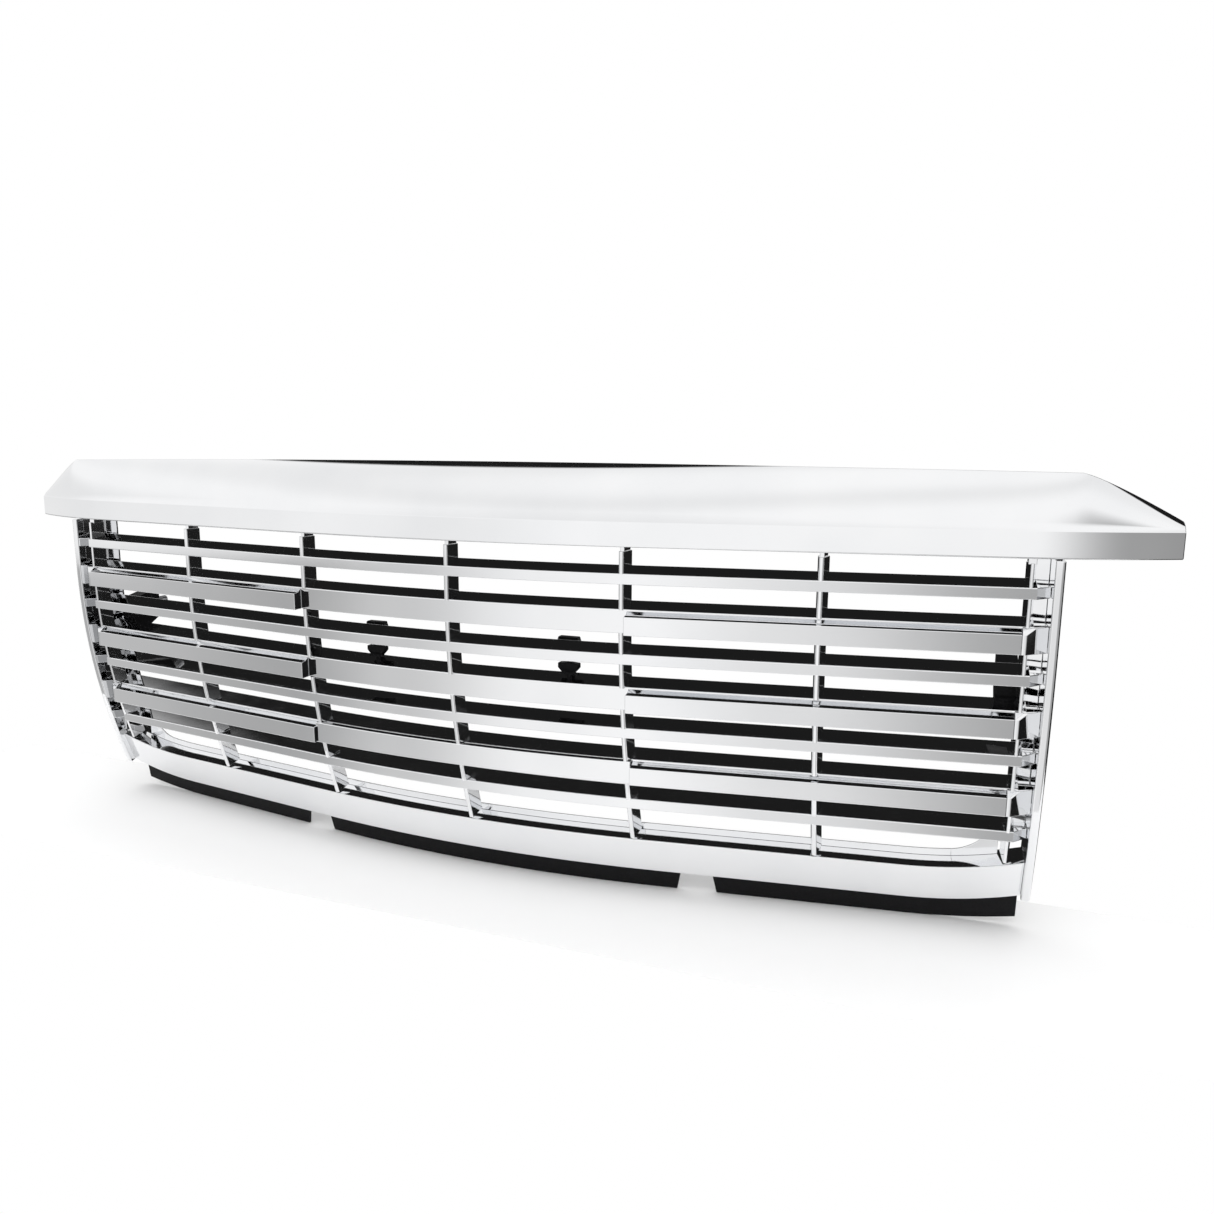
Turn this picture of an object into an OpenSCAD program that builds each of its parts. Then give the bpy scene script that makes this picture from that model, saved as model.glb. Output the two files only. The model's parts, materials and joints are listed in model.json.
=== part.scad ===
// Front grille of a full-size vehicle: plated header, surround, bars and blades on a black rear carrier.
// Design axes: X across, Y rearward from the middle of the front surface, Z up from the first thin bar.
// Every node is then moved so that the origin is the middle of the inner pair of upper bolt holes.

/* [Plan and side curves] */
// Spacing of the upright blades
blade_pitch = 156; // [154:0.5:157]
// Radius of the forward bow over the middle of the grille
bow_radius = 1326; // [1280:1:1380]
// Sweep-back angle of the straight stretches either side of the bow
sweep_angle = 7.8; // [7.5:0.1:8.1]
// Radius by which the front tucks rearward towards its lower edge
tuck_radius = 640; // [620:1:680]
// Height at which the tuck begins
tuck_start_z = -20; // [-22:1:-18]

/* [Bars] */
// Face height of a thin bar
thin_h = 9; // [8:0.5:9.5]
// Height by which the top of every bar rises towards its back
bar_rise = 4.5; // [3:0.5:6]
// Depth of every bar from front to back
bar_depth = 26; // [25:1:27]
// Full height of a thick bar
thick_h = 20; // [19:0.5:20.5]
// How far the wings of a thick bar stand proud of the thin bars
wing_proud = 8; // [7:0.5:8.5]
// Front-to-back thickness of a wing, which is the recess of the flat middle between the wings
wing_t = 9.5; // [9:0.5:10]
// How far the pad on the lowest thick bar lies behind its wings
low_pad_recess = 3; // [2.5:0.5:5]
// Height of the upright lower front of a wing
wing_face_h = 10.8; // [10:0.1:12]
// Height of the shadow groove above it
wing_groove_h = 2; // [1.5:0.1:2.5]

/* [Blades and sides] */
// Width of a blade along its front edge
blade_front_w = 3.8; // [3:0.1:5]
// Width of a blade at its back
blade_back_w = 9.4; // [8.5:0.1:10]
// Depth of a blade from front to back
blade_depth = 15; // [13:0.5:15.5]
// Depth at which the blades and bars are halved into each other
lap_depth = 8; // [7:0.5:9]
// Width of a side blade
side_blade_w = 7.5; // [7:0.5:8]
// Half width between the side rails
side_inner_x = 477; // [476:0.5:479]
// Thickness of a side rail
rail_w = 7; // [6:0.5:9]
// Depth of a side rail
rail_depth = 52; // [48:1:56]

/* [Header] */
// Half length of the header
header_half_w = 564; // [560:1:568]
// Height of the header's lower edge
header_low_z = 31; // [30.5:0.5:32]
// Height of the upright band under the crease
header_band_h = 21; // [19:1:23]
// Height of the header's rear edge at its middle
header_top_z = 97; // [95:1:99]
// Half length of the header's rear edge
header_rear_half_w = 492; // [488:1:496]
// Wall thickness of the header
header_wall = 3; // [2.5:0.5:3.5]

/* [Lower band] */
// Height of the lower band's top edge
band_top_z = -232; // [-233:0.5:-231]
// Height of the lower band's bottom edge
band_low_z = -268; // [-270:0.5:-267]
// Height by which the ends of the lower band curve upward
rise_h = 14; // [10:0.5:16]
// Height of the flange's bottom edge
flange_low_z = -291; // [-294:1:-288]
// Half width at which each flange notch begins
notch_inner_x = 188; // [185:1:192]
// Width of each flange notch
notch_w = 36; // [30:1:38]

/* [Fasteners and mounts] */
// Radius of the upper bolt holes
bolt_hole_r = 3.3; // [3:0.1:3.5]
// Half spacing of the inner pair of upper bolt holes
inner_bolt_x = 150; // [140:1:160]
// Half spacing of the outer pair of upper bolt holes
outer_bolt_x = 400; // [390:1:410]
// Distance from the middle of the front surface back to the upper bolt holes
bolt_y = 98; // [97:1:102]
// Height of the top face of the upper tabs
tab_top_z = 84; // [83:0.5:85]
// Radius of the two rear locating pins
pin_r = 4; // [3.5:0.5:4.5]
// Length of the free end of a locating pin
pin_length = 16; // [12:1:20]
// Radius of a screw's shank
screw_r = 2; // [1.8:0.1:2.1]

/* [Hidden] */
$fn = 48;
arc_fn = 360;
gap = 0.1;
plate = 3;
thin_z = [0, -67, -132.5, -201];
thick_z = [-40.6, -107.2, -174];
blade_rows = [-2, -1, 0, 1, 2];

// Where the bow meets the straight stretches
bow_end_x = bow_radius * sin(sweep_angle);
bow_end_y = bow_radius * (1 - cos(sweep_angle));
bow_steps = 12;
rise_start_x = 380;
rise_steps = 8;
side_blade_x = 2.962 * blade_pitch;
wing_inner_x = 1.03 * blade_pitch;
wing_outer_x = side_blade_x - side_blade_w / 2;
bar_end_x = side_blade_x + side_blade_w / 2;
link_depth = 14.5;
pad_front = wing_t - wing_proud;
blade_top_z = 44;
blade_low_z = band_top_z + 1;

// Header: crease, rear edge and the tighter curve of its outer ends
header_proud = 6;
crease_z = header_low_z + header_band_h;
header_end_r = 398;
header_end_x = 437;
rear_mid_y = 47;
rear_corner_y = 68;
rear_corner_z = 93.5;
rear_tip_y = 92;
rear_tip_z = 58;
header_stations = 40;
crown_steps = 8;

// Black carrier behind the plated parts
carrier_front = 16;
carrier_low_z = 34;
carrier_step_z = 70;
tab_w = 40;
tab_r = 14;
clip_x = [-390, -234, -78, 78, 234, 390];
flange_leg_z = -259;
flange_x = 476;
boss_x = [-370, -240, -80, 80, 240, 370];
bracket_x = [86, 110];
bracket_stop_h = 5;
arm_x = [445, 461];
arm_z = [-90, -52];
arm_back_y = 120;

// Rearward distance, at a distance across, of the line that lies a depth behind the front surface
function behind(x, depth) =
  abs(x) < (bow_radius - depth) * sin(sweep_angle)
    ? bow_radius - sqrt(pow(bow_radius - depth, 2) - x * x)
    : bow_end_y + (abs(x) - bow_end_x) * tan(sweep_angle) + depth / cos(sweep_angle);
function bow(x) = behind(x, 0);

// Further rearward distance at a height, from the tuck of the lower front
function tuck(z) =
  z >= tuck_start_z
    ? 0
    : tuck_radius - sqrt(pow(tuck_radius, 2) - pow(tuck_start_z - z, 2));

function tuck_angle(z) = asin((tuck_start_z - z) / tuck_radius);

// Header plan lines: the front edge with its tighter ends, and the rear edge with its cut corners
header_joint_y = bow(header_end_x) - header_proud;
function header_front(x) =
  abs(x) <= header_end_x
    ? bow(x) - header_proud
    : header_joint_y + header_end_r * cos(sweep_angle)
      - sqrt(pow(header_end_r, 2) - pow(abs(x) - header_end_x + header_end_r * sin(sweep_angle), 2));
function corner_share(x) =
  max(0, (abs(x) - header_rear_half_w) / (header_half_w - header_rear_half_w));
function rear_share(x) = pow(min(1, abs(x) / header_rear_half_w), 2);
function header_rear_y(x) =
  rear_mid_y + (rear_corner_y - rear_mid_y) * rear_share(x)
    + (rear_tip_y - rear_corner_y) * corner_share(x);
function header_rear_z(x) =
  header_top_z + (rear_corner_z - header_top_z) * rear_share(x)
    + (rear_tip_z - rear_corner_z) * pow(corner_share(x), 1.2);

// Crown between crease and rear edge: a curve that leaves the crease steeply and arrives nearly level
function crown(x, t) =
  let (
    from = [header_front(x) + 1.5, crease_z],
    to = [header_rear_y(x), header_rear_z(x)],
    via = [from[0] + 0.2 * (to[0] - from[0]), from[1] + 0.74 * (to[1] - from[1])]
  ) (1 - t) * (1 - t) * from + 2 * t * (1 - t) * via + t * t * to;

// Outer line of the header at one station, from its lower edge up to its rear edge
function header_outer(x) = concat(
  [[header_front(x), header_low_z], [header_front(x) + 0.4, crease_z - 1]],
  [for (i = [0:crown_steps]) crown(x, i / crown_steps)]
);
function inward(before, after) =
  let (d = after - before, n = norm(d)) header_wall * [d[1], -d[0]] / n;
function header_ring(x) =
  let (line = header_outer(x), last = len(line) - 1)
    concat(line, [for (i = [last:-1:0]) line[i] + inward(line[max(0, i - 1)], line[min(last, i + 1)])]);

// How far the lower band's outer ends curve upward
function end_rise(x) =
  abs(x) < rise_start_x ? 0 : rise_h * pow((abs(x) - rise_start_x) / (side_inner_x - rise_start_x), 2.2);

// A profile of [depth, height] points, swept along the bow from one distance across to another.
// Its points above a given height follow the upward curve of the band's ends, and the tuck with it.
// The points below that height follow a share of the curve.
module bow_sweep(from, to, profile, rises_above = 1000, low_share = 0) {
  bends = [for (i = [-bow_steps:bow_steps]) bow_end_x * i / bow_steps];
  rise_w = side_inner_x - rise_start_x;
  rises = [for (i = [0:rise_steps - 1]) rise_start_x + rise_w * i / rise_steps];
  turns = concat([for (i = [rise_steps - 1:-1:0]) -rises[i]], bends, rises);
  stations = [
    from,
    each [for (x = rises_above < 0 ? turns : bends) if (x > from + 1 && x < to - 1) x],
    to
  ];
  n = len(profile);
  points = [
    for (x = stations, p = profile)
      let (up = end_rise(x) * (p[1] > rises_above ? 1 : low_share))
        [x, behind(x, p[0] + tuck(p[1] + up) - tuck(p[1])), p[1] + up]
  ];
  last = len(stations) - 1;
  sides = [
    for (s = [0:last - 1], i = [0:n - 1])
      let (a = s * n + i, b = s * n + (i + 1) % n) [a, b, b + n, a + n]
  ];
  ends = [[for (i = [n - 1:-1:0]) i], [for (i = [0:n - 1]) last * n + i]];
  polyhedron(points = points, faces = concat(sides, ends));
}

function block(front, back, low, high) = [[front, low], [front, high], [back, high], [back, low]];

// A plan outline, swept straight down to the start of the tuck and then along it
module tuck_sweep(low_z, top_z) {
  translate([0, 0, tuck_start_z]) linear_extrude(top_z - tuck_start_z) children();
  translate([0, tuck_radius, tuck_start_z])
    rotate([90, 0, 90])
      rotate([0, 0, 180])
        rotate_extrude(angle = tuck_angle(low_z), $fn = arc_fn)
          translate([tuck_radius, 0]) rotate(90) children();
}

module on_side(side) {
  mirror([side < 0 ? 1 : 0, 0, 0]) children();
}

// Moves the design frame to the frame of the upper bolts
module mount_frame() {
  translate([0, -bolt_y, -tab_top_z]) children();
}

module plated() { color("gainsboro") mount_frame() children(); }
module black() { color([0.12, 0.12, 0.13]) mount_frame() children(); }
module steel() { color("slategray") mount_frame() children(); }

// Holes in the backs of bars for the bracket screws
module bracket_screw_holes() {
  for (side = [-1, 1], z = bracket_screw_z)
    translate([side * bracket_mid_x, bow(bracket_mid_x) + tuck(z) + bar_depth + 3, z])
      rotate([90, 0, 0]) cylinder(r = screw_r + gap, h = 16);
}
bracket_mid_x = (bracket_x[0] + bracket_x[1]) / 2;
bracket_screw_z = [thin_z[1] + thin_h / 2, thick_z[1] + thick_h / 2];

// A bar: full section as far as the side blades, then a set-back link to the rails,
// with a slot open to the rear for each blade
module bar(z, h, front) {
  difference() {
    translate([0, tuck(z), z])
      bow_sweep(-side_inner_x + gap, side_inner_x - gap, [
        [front, 0.8], [front, h - 0.8], [front + 0.8, h], [bar_depth - 3, h + bar_rise],
        [bar_depth, h + bar_rise - 1], [bar_depth, 1], [front + 0.8, 0]
      ]);
    for (side = [-1, 1])
      on_side(side)
        translate([bar_end_x + 1, -60, z - 1])
          cube([30, 60 + bow(bar_end_x) + tuck(z) + link_depth, h + bar_rise + 2]);
    for (i = blade_rows) blade_slot(i * blade_pitch, z, h, blade_back_w);
    for (side = [-1, 1]) blade_slot(side * side_blade_x, z, h, side_blade_w);
    bracket_screw_holes();
  }
}

module blade_slot(x, z, h, w) {
  translate([x - w / 2 - gap, bow(x) + tuck(z) + lap_depth, z - 1])
    cube([w + 2 * gap, 60, h + bar_rise + 2]);
}

module thin_bar(i) { plated() bar(thin_z[i], thin_h, 0); }
module thick_bar(i) { plated() bar(thick_z[i], thick_h, pad_front); }

// Wing section: upright lower front, shadow groove and a raked upper front
wing_front = -wing_proud;
groove_top_h = wing_face_h + wing_groove_h;
wing_profile = [
  [wing_front, 0.6], [wing_front, wing_face_h], [wing_front + 1.2, wing_face_h],
  [wing_front + 1.2, groove_top_h], [wing_front + 0.4, groove_top_h],
  [wing_front + wing_t - 3.5, thick_h], [pad_front - gap, thick_h],
  [pad_front - gap, 0], [wing_front + 0.6, 0]
];

module wing(i, side) {
  plated()
    translate([0, tuck(thick_z[i]), thick_z[i]])
      on_side(side) bow_sweep(wing_inner_x, wing_outer_x, wing_profile);
}

// Mitred cap that turns the end of a wing back to the rail
module end_cap(i, side) {
  y = bow(side_blade_x) + tuck(thick_z[i]);
  back = pad_front - 0.8;
  plated()
    on_side(side)
      translate([0, y, thick_z[i]])
        intersection() {
          linear_extrude(thick_h)
            polygon([
              [wing_outer_x + gap, -wing_proud], [wing_outer_x + 3, -wing_proud],
              [side_inner_x - gap, 5], [side_inner_x - gap, 6.2],
              [bar_end_x + 0.6, back], [wing_outer_x + gap, back]
            ]);
          translate([wing_outer_x - 1, 0, 0])
            rotate([90, 0, 90])
              linear_extrude(30)
                polygon([
                  [-wing_proud, 0.6], [-wing_proud, wing_face_h + wing_groove_h],
                  [-wing_proud + 5.6, thick_h], [8, thick_h], [8, 0], [-wing_proud + 0.6, 0]
                ]);
        }
}

// Pad in front of the lowest thick bar, between its wings
module center_pad() {
  plated()
    translate([0, tuck(thick_z[2]), thick_z[2]])
      bow_sweep(-wing_inner_x + gap, wing_inner_x - gap,
        block(low_pad_recess - wing_proud, pad_front - gap, 0, thick_h));
}

lap_rise = bar_rise * lap_depth / (bar_depth - 3);
module bar_notches(x, w) {
  for (z = thin_z) bar_notch(x, w, z, thin_h);
  for (z = thick_z) bar_notch(x, w, z, thick_h);
}

module bar_notch(x, w, z, h) {
  translate([x - w, bow(x) + tuck(z) - 40, z - gap])
    cube([2 * w, 40 + lap_depth + gap, h + lap_rise + 2 * gap]);
}

module blade_screw_hole(x) {
  translate([x, bow(x) + blade_depth + 1, blade_screw_z])
    rotate([90, 0, 0]) cylinder(r = screw_r + gap, h = 13);
}
blade_screw_z = 39;

// Upright blade that widens rearward, halved into each bar, its top end behind the header
module blade(i) {
  x = i * blade_pitch;
  plated()
    difference() {
      translate([x, bow(x), 0])
        tuck_sweep(blade_low_z, blade_top_z)
          polygon([
            [-blade_front_w / 2, 0], [blade_front_w / 2, 0],
            [blade_back_w / 2, blade_depth], [-blade_back_w / 2, blade_depth]
          ]);
      bar_notches(x, blade_back_w);
      blade_screw_hole(x);
    }
}

module side_blade(side) {
  plated()
    on_side(side)
      difference() {
        translate([side_blade_x, bow(side_blade_x), 0])
          tuck_sweep(blade_low_z + end_rise(bar_end_x), blade_top_z)
            translate([-side_blade_w / 2, 0]) square([side_blade_w, blade_depth]);
        bar_notches(side_blade_x, side_blade_w);
        blade_screw_hole(side_blade_x);
      }
}

// Side rail with a tongue that rises behind the header to the crossmember
module side_rail(side) {
  x = side_inner_x + rail_w / 2;
  plated()
    on_side(side)
      difference() {
        translate([side_inner_x, bow(x), 0]) {
          tuck_sweep(band_low_z + rise_h, header_low_z - 1)
            translate([0, -header_proud]) square([rail_w, rail_depth]);
          translate([0, carrier_front, header_low_z - 2]) cube([rail_w, 24, 34]);
        }
        rail_screw_hole();
      }
}
rail_screw_z = 52;
module rail_screw_hole() {
  translate([side_inner_x - 13, bow(side_inner_x) + 28, rail_screw_z])
    rotate([0, 90, 0]) cylinder(r = screw_r + gap, h = 40);
}

// Set-back strip that closes the space between a side blade and its rail
module side_panel(side) {
  y = bow(side_blade_x);
  plated()
    on_side(side)
      translate([0, y, 0])
        tuck_sweep(blade_low_z + end_rise(side_inner_x) + 2, header_low_z - 1)
          polygon([
            [panel_inner_x, 34], [side_inner_x - gap, 33.5],
            [side_inner_x - gap, 35.5], [panel_inner_x, 36]
          ]);
}
panel_inner_x = 462;

module header_molding() {
  stations = [for (i = [-header_stations:header_stations]) header_half_w * i / header_stations];
  ring_n = len(header_ring(0));
  points = [for (x = stations, p = header_ring(x)) [x, p[0], p[1]]];
  last = len(stations) - 1;
  sides = [
    for (s = [0:last - 1], i = [0:ring_n - 1])
      let (a = s * ring_n + i, b = s * ring_n + (i + 1) % ring_n)
        [a, b, b + ring_n, a + ring_n]
  ];
  ends = [
    [for (i = [ring_n - 1:-1:0]) i],
    [for (i = [0:ring_n - 1]) last * ring_n + i]
  ];
  plated() polyhedron(points = points, faces = concat(sides, ends));
}

// Clips between the header's front wall and the crossmember
module header_clips() {
  black()
    for (x = clip_x)
      bow_sweep(x - 8, x + 8, block(header_wall + 0.5 - header_proud, carrier_front - gap, 44, 48));
}

// Black beam behind the header, with four bolted tabs and a stepped top flange
module upper_crossmember() {
  black()
    difference() {
      union() {
        bow_sweep(-side_inner_x + 0.5, side_inner_x - 0.5, [
          [carrier_front, carrier_low_z], [carrier_front, carrier_step_z + 2],
          [34, tab_top_z], [58, tab_top_z], [58, tab_top_z - plate], [35, tab_top_z - plate],
          [carrier_front + plate, carrier_step_z], [carrier_front + plate, carrier_low_z]
        ]);
        for (side = [-1, 1], x = [inner_bolt_x, outer_bolt_x]) upper_tab(side * x);
        for (side = [-1, 1]) on_side(side) rail_boss();
      }
      for (side = [-1, 1], x = [inner_bolt_x, outer_bolt_x])
        translate([side * x, bolt_y, tab_top_z - plate - 1]) cylinder(r = bolt_hole_r, h = plate + 2);
      for (i = blade_rows) carrier_screw_hole(i * blade_pitch);
      for (side = [-1, 1]) carrier_screw_hole(side * side_blade_x);
    }
}

module upper_tab(x) {
  y = bow(x) + 50;
  translate([x, 0, tab_top_z - plate])
    linear_extrude(plate) {
      translate([-tab_r, y]) square([2 * tab_r, bolt_y - y]);
      translate([0, bolt_y]) circle(r = tab_r);
      translate([-tab_w / 2, y]) square([tab_w, 12]);
    }
}

// Block at the end of the crossmember that takes the rail's screw
module rail_boss() {
  difference() {
    translate([side_inner_x - 16, bow(side_inner_x) + carrier_front + 1, rail_screw_z - 8])
      cube([15, 20, 16]);
    rail_screw_hole();
  }
}

module carrier_screw_hole(x) {
  translate([x, bow(x) + 30, blade_screw_z]) rotate([90, 0, 0]) cylinder(r = screw_r + gap, h = 20);
}

// Lower band: a curved front with a shelf at its top and bosses for the flange's screws
band_steps = 6;
shelf_d = 30;
function band_z(i) = band_top_z + (band_low_z - band_top_z) * i / band_steps;
band_front = [for (i = [0:band_steps]) [tuck(band_z(i)), band_z(i)]];
band_back = [
  for (i = [band_steps:-1:0])
    [tuck(band_z(i)) + plate, max(band_low_z + 2.5, min(band_top_z - 2.5, band_z(i)))]
];
band_back_low = tuck(band_low_z) + 12;
shelf_back = tuck(band_top_z) + shelf_d;
band_profile = concat(
  [[band_back_low, band_low_z + 2.5], [band_back_low, band_low_z]],
  [for (i = [band_steps:-1:0]) band_front[i]],
  [[shelf_back, band_top_z], [shelf_back, band_top_z - 2.5]],
  [for (i = [band_steps:-1:0]) band_back[i]]
);

function boss_y(x) = bow(x) + tuck(band_top_z) + 21.5;

module lower_band() {
  plated()
    difference() {
      union() {
        bow_sweep(-side_inner_x + gap, side_inner_x - gap, band_profile, flange_low_z);
        for (x = boss_x)
          translate([x, boss_y(x), flange_leg_z + gap]) cylinder(r = 5, h = band_top_z - flange_leg_z - 1);
      }
      for (x = boss_x)
        translate([x, boss_y(x), flange_leg_z - 1]) cylinder(r = screw_r + gap, h = 17);
    }
}

// Thin upright lip behind the band's shelf, and the round corners in which its ends rise
lip_h = 6;
lip_corner_r = 36;
lip_corner_h = 20;
lip_half = wing_outer_x - 1;
lip_corner_x = lip_half - lip_corner_r;
lip_front = tuck(band_top_z) + 21;
function lip_profile(h) = block(lip_front, lip_front + 2, band_top_z + gap, band_top_z + h);

module lower_lip() {
  plated() bow_sweep(-lip_corner_x, lip_corner_x, lip_profile(lip_h), flange_low_z);
}

module lip_corner(side) {
  plated()
    on_side(side)
      difference() {
        bow_sweep(lip_corner_x + gap, lip_half, lip_profile(lip_corner_h), flange_low_z);
        translate([lip_corner_x, 0, band_top_z + lip_h + lip_corner_r + end_rise(lip_corner_x)])
          rotate([-90, 0, 0]) cylinder(r = lip_corner_r, h = 300, $fn = 96);
      }
}

// Black flange under the band, with its two locating notches
module lower_flange() {
  lean = 4;
  front = tuck(band_low_z) + 13;
  leg_low_z = flange_leg_z - plate;
  leg_front = tuck(leg_low_z) + plate + 0.5;
  black()
    difference() {
      bow_sweep(-flange_x, flange_x, [
        [leg_front, leg_low_z], [leg_front, flange_leg_z], [front + plate, flange_leg_z],
        [front + lean + plate, flange_low_z], [front + lean, flange_low_z], [front, leg_low_z]
      ], flange_low_z, 0.65);
      for (side = [-1, 1])
        on_side(side)
          translate([notch_inner_x, 0, flange_low_z - 1])
            cube([notch_w, 200, band_low_z - flange_low_z + 3]);
      for (x = boss_x)
        translate([x, boss_y(x), flange_leg_z - plate - 1]) cylinder(r = screw_r + 0.3, h = plate + 2);
    }
}

// Black bracket that ties the second thin bar to the second thick bar, with a stop on its top
module inner_bracket(side) {
  w = bracket_x[1] - bracket_x[0];
  black()
    on_side(side)
      difference() {
        translate([bracket_x[0], bracket_y, thick_z[1] + 2])
          cube([w, bracket_t, thin_z[1] + thin_h + bracket_stop_h - thick_z[1] - 2]);
        bracket_bores();
      }
}
bracket_t = 7;
bracket_y = behind(bracket_x[1], bar_depth) + tuck(thick_z[1]) + gap;

module bracket_bores() {
  for (z = bracket_screw_z)
    translate([bracket_mid_x, 80, z]) rotate([90, 0, 0]) cylinder(r = screw_r + 0.3, h = 70);
}

// Black arm behind each end, tapering rearward to its locating pin
module locating_arm(side) {
  front = behind(arm_x[1], bar_depth) + tuck(thick_z[1]) + gap;
  black()
    on_side(side)
      difference() {
        translate([arm_x[0], 0, 0])
          rotate([90, 0, 90])
            linear_extrude(arm_x[1] - arm_x[0])
              polygon([
                [front, thick_z[1] + 3], [arm_back_y, arm_z[0] + 6],
                [arm_back_y, arm_z[1]], [front, arm_z[1] - 8]
              ]);
        translate([arm_mid_x, arm_back_y + 1, arm_pin_z])
          rotate([90, 0, 0]) cylinder(r = pin_shank_r + gap / 2, h = 13);
      }
}
arm_mid_x = (arm_x[0] + arm_x[1]) / 2;
arm_pin_z = -68;
pin_shank_r = pin_r - 1;

module locating_pin(side) {
  steel()
    on_side(side)
      translate([arm_mid_x, arm_back_y, arm_pin_z]) {
        rotate([-90, 0, 0]) cylinder(r = pin_r, h = pin_length);
        rotate([90, 0, 0]) cylinder(r = pin_shank_r, h = 12);
      }
}

// Pan-head screw: its shank points along +Z from the seat of its head
module screw(length) {
  cylinder(r = screw_r, h = length);
  translate([0, 0, -2.2]) cylinder(r = 2 * screw_r, h = 2.2);
}

module blade_screws() {
  steel()
    for (i = [-side_blade_x, each blade_pitch * blade_rows, side_blade_x])
      translate([i, bow(i) + carrier_front + plate + 1.2, blade_screw_z])
        rotate([90, 0, 0]) screw(14);
}

module bracket_screws() {
  steel()
    for (side = [-1, 1], z = bracket_screw_z)
      translate([side * bracket_mid_x, bracket_y + bracket_t, z]) rotate([90, 0, 0]) screw(16);
}

module rail_screws() {
  steel()
    for (side = [-1, 1])
      on_side(side)
        translate([side_inner_x + rail_w, bow(side_inner_x) + 28, rail_screw_z])
          rotate([0, -90, 0]) screw(18);
}

module flange_screws() {
  steel()
    for (x = boss_x) translate([x, boss_y(x), flange_leg_z - plate]) screw(16);
}

header_molding();
header_clips();
upper_crossmember();
side_rail(-1);  // left_rail
side_rail(1);  // right_rail
side_panel(-1);  // left_side_panel
side_panel(1);  // right_side_panel
lower_band();
lower_lip();
lip_corner(-1);  // left_lip_corner
lip_corner(1);  // right_lip_corner
lower_flange();
thin_bar(0);  // thin_bar_1
thin_bar(1);  // thin_bar_2
thin_bar(2);  // thin_bar_3
thin_bar(3);  // thin_bar_4
thick_bar(0);  // thick_bar_1
thick_bar(1);  // thick_bar_2
thick_bar(2);  // thick_bar_3
wing(0, -1);  // left_wing_1
wing(1, -1);  // left_wing_2
wing(2, -1);  // left_wing_3
wing(0, 1);  // right_wing_1
wing(1, 1);  // right_wing_2
wing(2, 1);  // right_wing_3
end_cap(0, -1);  // left_end_cap_1
end_cap(1, -1);  // left_end_cap_2
end_cap(2, -1);  // left_end_cap_3
end_cap(0, 1);  // right_end_cap_1
end_cap(1, 1);  // right_end_cap_2
end_cap(2, 1);  // right_end_cap_3
center_pad();  // center_pad_3
blade(-2);  // blade_1
blade(-1);  // blade_2
blade(0);  // blade_3
blade(1);  // blade_4
blade(2);  // blade_5
side_blade(-1);  // left_side_blade
side_blade(1);  // right_side_blade
inner_bracket(-1);  // left_inner_bracket
inner_bracket(1);  // right_inner_bracket
locating_arm(-1);  // left_locating_arm
locating_arm(1);  // right_locating_arm
locating_pin(-1);  // left_locating_pin
locating_pin(1);  // right_locating_pin
blade_screws();
bracket_screws();
rail_screws();
flange_screws();
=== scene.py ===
import json
import math

import bmesh
import bpy
import numpy as np
from mathutils import Matrix, Vector


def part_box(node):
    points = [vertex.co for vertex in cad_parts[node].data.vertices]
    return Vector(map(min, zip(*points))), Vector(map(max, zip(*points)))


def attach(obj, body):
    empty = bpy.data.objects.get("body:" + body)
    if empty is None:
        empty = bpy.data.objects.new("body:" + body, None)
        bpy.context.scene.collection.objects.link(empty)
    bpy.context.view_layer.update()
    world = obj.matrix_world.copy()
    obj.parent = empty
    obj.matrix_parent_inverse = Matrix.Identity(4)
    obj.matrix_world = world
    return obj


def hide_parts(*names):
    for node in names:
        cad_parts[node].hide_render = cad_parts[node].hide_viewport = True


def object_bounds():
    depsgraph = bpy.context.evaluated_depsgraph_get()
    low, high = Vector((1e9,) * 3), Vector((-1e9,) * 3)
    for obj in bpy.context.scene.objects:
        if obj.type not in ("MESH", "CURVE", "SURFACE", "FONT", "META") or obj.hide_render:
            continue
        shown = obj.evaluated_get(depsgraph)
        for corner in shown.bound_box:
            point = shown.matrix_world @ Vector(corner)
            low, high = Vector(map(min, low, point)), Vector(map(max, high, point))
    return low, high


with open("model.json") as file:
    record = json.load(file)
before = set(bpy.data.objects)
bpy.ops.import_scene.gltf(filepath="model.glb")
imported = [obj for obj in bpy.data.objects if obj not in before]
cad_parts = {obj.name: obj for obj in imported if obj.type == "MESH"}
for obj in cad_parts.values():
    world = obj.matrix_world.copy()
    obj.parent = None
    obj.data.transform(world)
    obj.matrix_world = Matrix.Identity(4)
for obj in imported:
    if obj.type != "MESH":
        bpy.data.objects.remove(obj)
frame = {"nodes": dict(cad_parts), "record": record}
cad_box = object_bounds()
NODES = frame["nodes"]
scene = bpy.context.scene

# ---------------------------------------------------------------- layout, in millimetres
# The design frame: X across, Y rearward from the middle of the front, Z up from the first
# thin bar's underside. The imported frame's origin is at the upper bolts.
FIRST_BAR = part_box("thin_bar_1")[0]
ORIGIN = np.array([0.0, FIRST_BAR.y, FIRST_BAR.z])
PITCH = 156.0
BOW_R = 1326.0
SWEEP = math.radians(7.8)
TUCK_R = 640.0
TUCK_Z = -20.0
BAR_DEPTH, BAR_RISE = 26.0, 4.5
THIN_H, THICK_H = 9.0, 20.0
THIN_Z = [0.0, -67.0, -132.5, -201.0]
THICK_Z = [-40.6, -107.2, -174.0]
WING_PROUD, WING_T = 8.0, 9.5
PAD_FRONT = WING_T - WING_PROUD
SIDE_X = 2.962 * PITCH
SIDE_W = 7.5
SIDE_INNER = 477.0
RAIL_W, RAIL_D, RAIL_PROUD = 7.0, 52.0, 6.0
WING_IN, WING_OUT = 1.03 * PITCH, SIDE_X - SIDE_W / 2
BAR_END = SIDE_X + SIDE_W / 2
LINK_DEPTH = 14.5
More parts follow.
